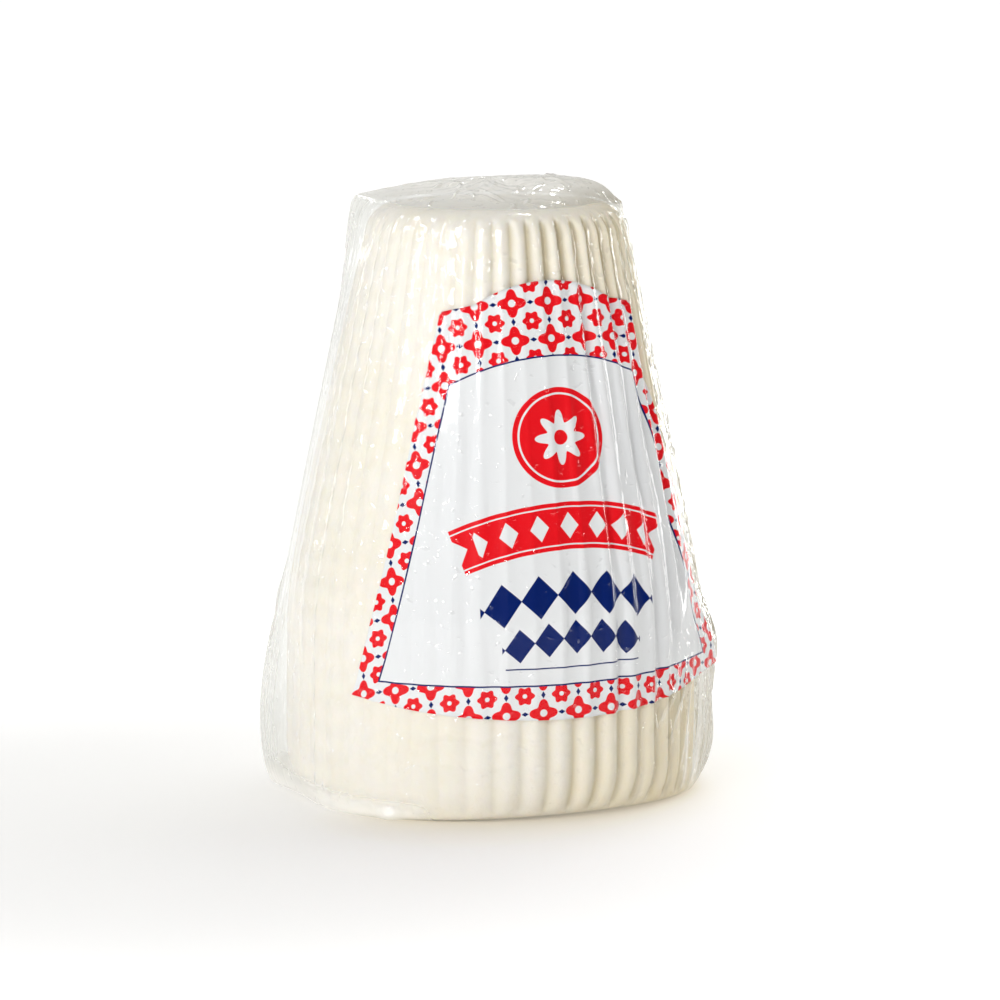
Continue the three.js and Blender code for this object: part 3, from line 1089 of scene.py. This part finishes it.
# Middle and spread of what is drawn around a middle: degrees aside, tilts and lifts.
SEAM_ASIDE, SEAM_TILT, SEAM_LIFT = (0, 8), (0, 0.45), (0, 0.0005)
LEFT_LINE_TILT = (0.05, 0.12)
RIM_TILT, RIM_LIFT = (0, 0.8), (0, 0.0003)


def random_creases(seed):
    """Drawn once for both sheets. Each is a place, a tilt, a length, a width and a lift."""
    draw = np.random.default_rng(seed)
    made = []
    for _ in range(SEAM_CREASES):
        side = int(draw.random() < LEFT_SHARE)
        angle = SEAM_ANGLE - math.pi * side + math.radians(draw.normal(*SEAM_ASIDE))
        place = (angle, draw.uniform(*SEAM_HEIGHTS))
        made.append((place, draw.normal(*SEAM_TILT), draw.uniform(*SEAM_LENGTHS), SEAM_WIDTH,
                     draw.normal(*SEAM_LIFT)))
    for _ in range(LEFT_LINES):
        angle = SEAM_ANGLE - math.pi + math.radians(draw.uniform(*LEFT_LINE_ANGLES))
        place = (angle, draw.uniform(*LEFT_LINE_HEIGHTS))
        made.append((place, draw.normal(*LEFT_LINE_TILT), draw.uniform(*LEFT_LINE_LENGTHS),
                     LEFT_LINE_WIDTH, LEFT_LINE_LIFT))
    for _ in range(RIM_CREASES):
        place = (draw.uniform(-math.pi, math.pi), draw.uniform(*RIM_CREASE_HEIGHTS))
        made.append((place, draw.normal(*RIM_TILT), draw.uniform(*RIM_LENGTHS), RIM_WIDTH,
                     draw.normal(*RIM_LIFT)))
    return made


# %% A fan of folds under the label's corner
FAN_SEED = 3
FAN_FOLDS = 6
FAN_START = math.radians(1.5)
FAN_HEIGHT, FAN_HEIGHT_SPREAD = 0.031, 0.003
FAN_SPREAD = math.radians(6.2)
FAN_TILT, FAN_TILT_SPREAD = math.radians(11), 0.05
UPRIGHT_FOLD = 1.5
FAN_WIDTHS = (0.0012, 0.0022)
FAN_LENGTHS = (0.030, 0.048)
FAN_LIFTS = (0.0010, 0.0019)


def fan_of_folds():
    """The corner of the stiff label pulls the film into folds that spread towards the floor."""
    draw = np.random.default_rng(FAN_SEED)
    made = []
    for number in range(FAN_FOLDS):
        angle = SEAM_ANGLE - FAN_START - number * FAN_SPREAD
        tilt = (number - UPRIGHT_FOLD) * FAN_TILT + draw.normal(0, FAN_TILT_SPREAD)
        place = (angle, FAN_HEIGHT + draw.normal(0, FAN_HEIGHT_SPREAD))
        width = draw.uniform(*FAN_WIDTHS)
        made.append((place, tilt, draw.uniform(*FAN_LENGTHS), width, draw.uniform(*FAN_LIFTS)))
    return made


# %% Lines along the welds
# Each line's degrees from the seam, and where in its sway it starts.
WELD_LINES = ((2.2, 0.0), (4.6, 1.9), (7.4, 3.7), (10.5, 5.2))
WELD_LINE_HEIGHT = np.array([0.0003, 0.00014])
WELD_LINE_WIDTH = math.radians(0.45)
WELD_LINE_SWAY = math.radians(0.9)
SWAY_RATE = 46
FULL_SWAY_PLACE = 5


def weld_lines(angle, z):
    """Fine folds that run down beside both seams, as pulled film has. They sway a little."""
    seam, offset = nearest_seam(angle)
    total = 0 * angle * z
    for place, phase in WELD_LINES:
        sway = WELD_LINE_SWAY * np.sin(z * SWAY_RATE + phase + seam) * place / FULL_SWAY_PLACE
        aside = (np.abs(offset) - math.radians(place) - sway) / WELD_LINE_WIDTH
        total = total + WELD_LINE_HEIGHT[seam] * np.exp(-aside * aside)
    return total


# %% Folds over the top
TENT_SEED = 8
TENT_CREASES = 60
TENT_REACHES = (0.35, 0.95)
TENT_LENGTHS = (0.10, 0.32)
TENT_LIFTS = (0.0003, 0.0009)
TENT_WIDTH = 0.016
TENT_RIM_FADE, RIDGE_FADE = 0.06, 0.2
WAVE_HEIGHT, FINE_WAVE_HEIGHT = 0.0002, 0.00015


def tent_creases(angle, share):
    """Sharp little folds in the film over the top, where it has been drawn together."""
    draw = np.random.default_rng(TENT_SEED)
    x, y = share * np.sin(angle), -share * np.cos(angle)
    total = 0 * x
    for _ in range(TENT_CREASES):
        place, reach = draw.uniform(-math.pi, math.pi), draw.uniform(*TENT_REACHES)
        turn, length = draw.uniform(0, math.pi), draw.uniform(*TENT_LENGTHS)
        from_x, from_y = x - reach * math.sin(place), y + reach * math.cos(place)
        along = from_x * math.cos(turn) + from_y * math.sin(turn)
        aside = from_y * math.cos(turn) - from_x * math.sin(turn)
        fade = clamp(1 - (2 * along / length) ** 2)
        total = total + draw.uniform(*TENT_LIFTS) * fade * np.exp(-((aside / TENT_WIDTH) ** 2))
    _, offset = nearest_seam(angle)
    from_ridge = share * np.abs(np.sin(offset))
    return total * ease((1 - share) / TENT_RIM_FADE) * ease(from_ridge / RIDGE_FADE)


def tent_crinkle(angle, share):
    """Shallow folds that run over the top of the bag."""
    waves = np.sin(9 * angle + 5 * share) * np.sin(17 * share + 2 * angle)
    fine = np.sin(23 * angle - 11 * share) * np.sin(29 * share + 5)
    fade = np.sin(math.pi * np.minimum(share * 1.15, 1))
    return (WAVE_HEIGHT * waves + FINE_WAVE_HEIGHT * fine) * fade


# %% Make a sheet of film
SIDE_ROWS = 185
TENT_ROWS = 48
FRONT_COLUMNS, BACK_COLUMNS = 420, 300
ROW_EASING = 0.4
SEAM_EASING = 0.35
FOOT_SHARES = (0, 0.6, 0.9)
LOOSE_GAP = 0.004
DEEPEST_DENT = 0.7


def eased_share(count, easing):
    """Steps from 0 to 1 that are smaller at both ends."""
    share = np.linspace(0, 1, count)
    return share - easing * np.sin(FULL_TURN * share) / FULL_TURN


def make_film_sheet(name, start, columns, creases, material):
    across = start + math.pi * eased_share(columns, SEAM_EASING)
    upward = RIM_HEIGHT * eased_share(SIDE_ROWS, ROW_EASING)
    angle, z = np.meshgrid(across, upward)
    side = film_radius(angle, z)
    bare = 1 - label_cover(angle, z)
    gap = (side - cheese_radius(angle, z) + groove_depth(angle, z) - FILM_THICKNESS) * bare
    lift = creased(angle, z, creases) + weld_lines(angle, z)
    lift = np.maximum(lift, -gap * DEEPEST_DENT)
    side = side + lift
    foot = [on_surface(across, side[0] * share, 0 * across) for share in FOOT_SHARES]
    angle_over, share = np.meshgrid(across, np.linspace(1, 0, TENT_ROWS)[1:])
    tent_radius, tent_height = tent_point(angle_over, share)
    tent_height = tent_height + tent_crinkle(angle_over, share) + tent_creases(angle_over, share)
    tent = on_surface(angle_over, tent_radius, tent_height)
    points = np.concatenate([np.stack(foot), on_surface(angle, side, z), tent])
    under = np.zeros((len(FOOT_SHARES), columns))
    stand_off = np.concatenate([under, np.maximum(gap + lift, 0) / LOOSE_GAP, np.ones_like(share)])
    piece = mesh_piece(name, points, grid_faces(len(points), columns), material)
    stored = piece.data.attributes.new("stand_off", "FLOAT", "POINT")
    stored.data.foreach_set("value", clamp(stand_off).ravel())
    # Film this clear casts hardly any shadow, and it need not be seen in its own reflections.
    piece.visible_shadow = piece.visible_diffuse = piece.visible_glossy = False
    print(f"{name}: {len(piece.data.polygons)} faces")
    return piece


creases = random_creases(CREASE_SEED) + fan_of_folds()
front_start = SEAM_ANGLE - math.pi
film_front = make_film_sheet("film_front", front_start, FRONT_COLUMNS, creases, film_material)
film_back = make_film_sheet("film_back", SEAM_ANGLE, BACK_COLUMNS, creases, film_material)

# %% [markdown]
# ## The studio
#
# The cheese stands on a white sweep in soft light. A broad window in front and to the left
# lights it, and the room is brighter on that side. The other softboxes light nothing: they
# only show in what is glossy, which gives the film its bright lines beside the welds and its
# glints on top. A very wide sun from behind draws the soft shadow to the front. The floor
# glows a little, most of all away from the cheese, so that it fades to white as a sweep does,
# and a warm shade close to the foot stands for the light that the cheese keeps off the floor.

# %% Floor
FLOOR_SIZE = 60.0
FLOOR_DROP = 0.0002
GLOW = 0.42
GLOW_START = 0.10
NEAR_GLOW = 0.11
GLOW_FADE = 0.28
SHADE_PLACE = (-0.16, -0.035)
CONTACT_REACH = (0.012, 0.060)
CONTACT_SIDE = math.radians(-19)
CONTACT_START, CONTACT_FADE = math.radians(-85), math.radians(40)
CONTACT_COLOUR = (0.80, 0.73, 0.58, 1)
SWEEP_COLOURS = ((0.90, 0.90, 0.895, 1), (0.93, 0.93, 0.925, 1))
MOTTLE_SCALE = 6


def contact_shade(x, y):
    """How much the foot shades the floor. It reaches furthest in front, away from the sun."""
    angle = turn_of(x, y * -1.0)
    away = length_of(x, y) - cheese_radius(angle, 0.0)
    ahead = clamp(cosine(angle - CONTACT_SIDE))
    narrow, wide = CONTACT_REACH
    near = 1.0 - clamp(away / (narrow + wide * ahead * ahead))
    return near * near * ease((angle - CONTACT_START) / CONTACT_FADE)


def make_floor():
    half = FLOOR_SIZE / 2
    corners = np.array([(-half, -half), (half, -half), (half, half), (-half, half)])
    points = np.column_stack([corners, np.full(4, -FLOOR_DROP)])
    material, tree = start_material("white_sweep")
    mottle = noise(tree, object_place(tree), MOTTLE_SCALE, 2)
    colour = tree.colour_mix(mottle, *SWEEP_COLOURS)
    x, y, _ = tree.split(object_place(tree))
    far = ease((length_of(x - SHADE_PLACE[0], y - SHADE_PLACE[1]) - GLOW_START) / GLOW_FADE)
    colour = tree.colour_mix(contact_shade(x, y), colour, CONTACT_COLOUR, "MULTIPLY")
    shader = tree.add("ShaderNodeBsdfPrincipled", None, {
        "Base Color": colour,
        "Roughness": 0.7,
        "Emission Color": tree.colour_mix(far, (NEAR_GLOW,) * 3 + (1,), (GLOW,) * 3 + (1,)),
        "Emission Strength": 1.0,
    })
    tree.add("ShaderNodeOutputMaterial", None, {"Surface": shader})
    return mesh_piece("floor", points, np.array([[0, 1, 2, 3]]), material)


floor = make_floor()

# %% Lights
LAMP_DISTANCE = 1.3
SUN_DISTANCE = 3
# Name, degrees to the camera's right, degrees up, width and height, and watts.
WINDOW = ("window_left", -25, 16, (0.7, 0.9), 6.6)
REFLECTED = (
    ("window_glass", -34, 30, (0.3, 0.65), 22.0),
    ("speck_light", -62, 42, (0.6, 0.4), 20.0),
    ("left_strip", -132, 8, (0.08, 0.9), 0.6),
    ("right_strip", 118, 4, (0.24, 0.8), 7.0),
    ("right_strip_behind", 152, 4, (0.12, 0.8), 2.4),
    ("top_glint", 165, 62, (0.09, 0.09), 1.0),
    ("top_glint_left", -120, 50, (0.30, 0.14), 2.4),
    ("top_glint_right", 110, 50, (0.14, 0.14), 1.2),
)


def add_softbox(name, azimuth, elevation, size, power, lights):
    """A rectangular lamp that either lights things or shows in what is glossy."""
    lamp = put_in_scene(name, bpy.data.lights.new(name, "AREA"))
    lamp.data.shape = "RECTANGLE"
    lamp.data.size, lamp.data.size_y = size
    lamp.data.energy = power
    lamp.visible_camera = False
    lamp.visible_diffuse = lights
    lamp.visible_glossy = not lights
    aim(lamp, CAMERA_AZIMUTH + math.radians(azimuth), math.radians(elevation), LAMP_DISTANCE)


def add_sun(name, azimuth, elevation, spread, strength):
    lamp = put_in_scene(name, bpy.data.lights.new(name, "SUN"))
    lamp.data.angle = math.radians(spread)
    lamp.data.energy = strength
    lamp.visible_glossy = False
    aim(lamp, CAMERA_AZIMUTH + math.radians(azimuth), math.radians(elevation), SUN_DISTANCE)


add_softbox(*WINDOW, lights=True)
for lamp_values in REFLECTED:
    add_softbox(*lamp_values, lights=False)
add_sun("sweep_light", azimuth=150, elevation=48, spread=60, strength=1.0)
print(1 + len(REFLECTED), "softboxes and a sun")

# %% The room
LEFT_ROOM = (0.84, 0.83, 0.81, 1)
RIGHT_ROOM = (0.38, 0.36, 0.32, 1)
SKY = (1.12, 1.12, 1.11, 1)
ROOM_STRENGTH = 0.52
DARK_SIDE = (0.04, 0.038, 0.033, 1)
DARK_AZIMUTH = CAMERA_AZIMUTH + math.radians(35)
BRIGHT_LEFT = (1.4, 1.4, 1.38, 1)
BRIGHT_RIGHT = (0.70, 0.66, 0.55, 1)
# How sharply one colour turns into the next, and where.
ACROSS_ROOM, ACROSS_BACK = (0.7, 0.35), (1.5, 0.4)
SKY_START, SKY_FADE = 0.4, 0.5
DARK_REACH, DARK_FADE = 0.5, 0.8


def facing_share(tree, direction, azimuth):
    """1 for a direction towards the azimuth and -1 for one away from it."""
    pair = [direction, tuple(direction_to(azimuth, 0))]
    return tree.add("ShaderNodeVectorMath", {"operation": "DOT_PRODUCT"}, pair, "Value")


def turned_over(value, sharpness_and_start):
    sharpness, start = sharpness_and_start
    return ease(value * sharpness + start)


def make_room():
    """Pale for everything but reflections, which see that the camera's side is dark."""
    world = bpy.data.worlds.new("white_room")
    world.use_nodes = True
    world.node_tree.nodes.clear()
    tree = Tree(world.node_tree)
    direction = tree.add("ShaderNodeTexCoord", output="Generated")
    ahead = facing_share(tree, direction, DARK_AZIMUTH)
    to_right = facing_share(tree, direction, CAMERA_AZIMUTH + math.radians(90))
    room = tree.colour_mix(turned_over(to_right, ACROSS_ROOM), LEFT_ROOM, RIGHT_ROOM)
    _, _, upward = tree.split(direction)
    room = tree.colour_mix(ease((upward - SKY_START) / SKY_FADE), room, SKY)
    behind = tree.colour_mix(turned_over(to_right, ACROSS_BACK), BRIGHT_LEFT, BRIGHT_RIGHT)
    mirrored = tree.colour_mix(ease((ahead + DARK_REACH) / DARK_FADE), behind, DARK_SIDE)
    in_mirror = tree.add("ShaderNodeLightPath", output="Is Glossy Ray")
    colour = tree.colour_mix(in_mirror, room, mirrored)
    light = tree.add("ShaderNodeBackground", None, {"Color": colour, "Strength": ROOM_STRENGTH})
    tree.add("ShaderNodeOutputWorld", None, {"Surface": light})
    return world


bpy.context.scene.world = make_room()
bpy.context.scene.view_settings.view_transform = "Standard"

# %% [markdown]
# ## Fitting the pieces to the frame
#
# The ricotta has no joints, so every piece rides on its one body. The cheese and the two
# sheets of film stand for the solid that the checks weigh and drop, and the thin label
# stands for its own thicker solid.

# %% Ride and replace
for piece, node, slot in (
    (cheese, "sealed_cheese", "cheese"),
    (film_front, "sealed_cheese", "film"),
    (film_back, "sealed_cheese", "film"),
    (label, "label", "label"),
):
    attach(piece, "root")
    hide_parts(node)
